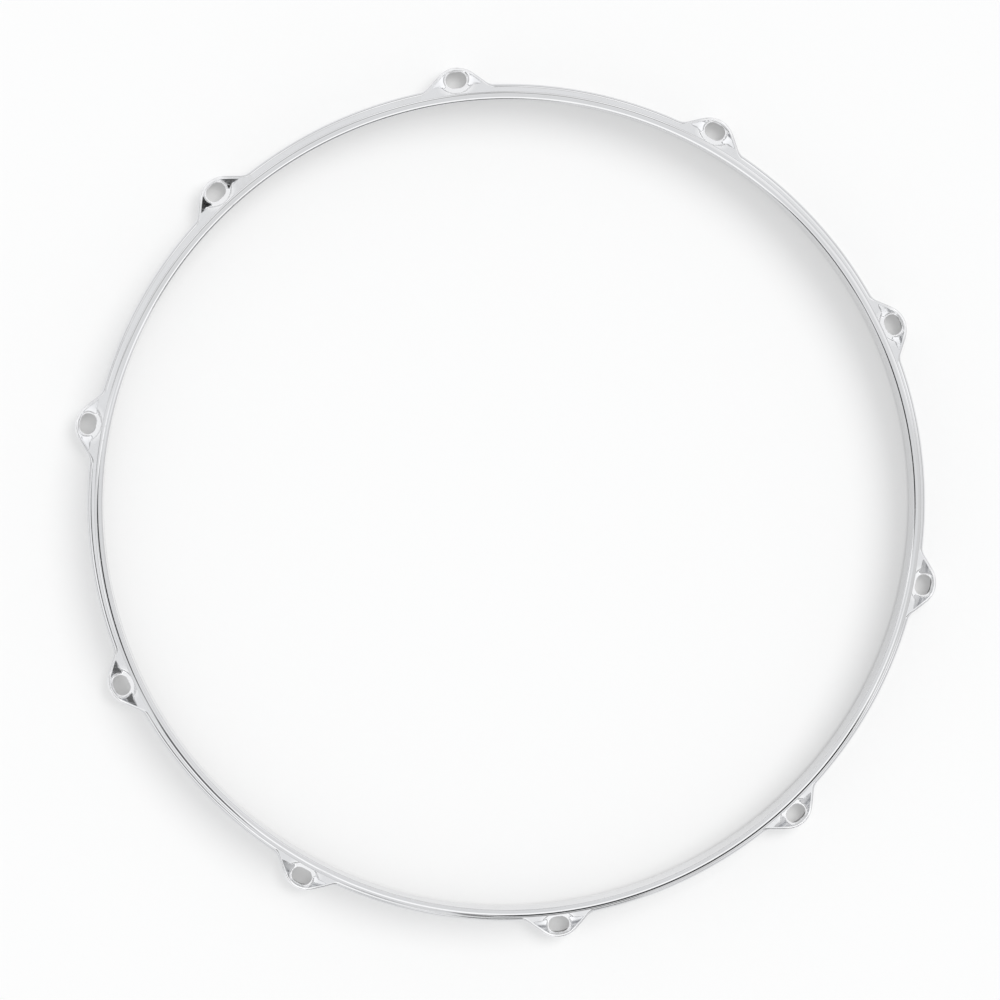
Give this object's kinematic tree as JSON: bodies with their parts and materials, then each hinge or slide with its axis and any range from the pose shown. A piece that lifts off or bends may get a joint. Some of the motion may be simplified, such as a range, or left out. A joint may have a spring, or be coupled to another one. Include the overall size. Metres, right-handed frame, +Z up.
{
  "type": "drum hoop",
  "caption": "Chromed pressed-steel drum hoop with a rolled rim, upright wall, shoulder, skirt and ears with sunk oval holes for tension rods.",
  "frame": {"origin": "middle of the circle that the skirt's lower edge stands on", "axes": "+Z up through the middle of the hoop, towards the rolled rim; +X through the middle of the first ear"},
  "size_m": [0.3984, 0.381, 0.025],
  "materials": {
    "chrome_plate": "polished chrome plate on pressed steel"
  },
  "bodies": {
    "root": {"top_rim": "chrome_plate", "hoop_wall": "chrome_plate", "ear_01": "chrome_plate", "ear_02": "chrome_plate", "ear_03": "chrome_plate", "ear_04": "chrome_plate", "ear_05": "chrome_plate", "ear_06": "chrome_plate", "ear_07": "chrome_plate", "ear_08": "chrome_plate", "ear_09": "chrome_plate", "ear_10": "chrome_plate", "flange_span_01": "chrome_plate", "flange_span_02": "chrome_plate", "flange_span_03": "chrome_plate", "flange_span_04": "chrome_plate", "flange_span_05": "chrome_plate", "flange_span_06": "chrome_plate", "flange_span_07": "chrome_plate", "flange_span_08": "chrome_plate", "flange_span_09": "chrome_plate", "flange_span_10": "chrome_plate"}
  },
  "joints": []
}
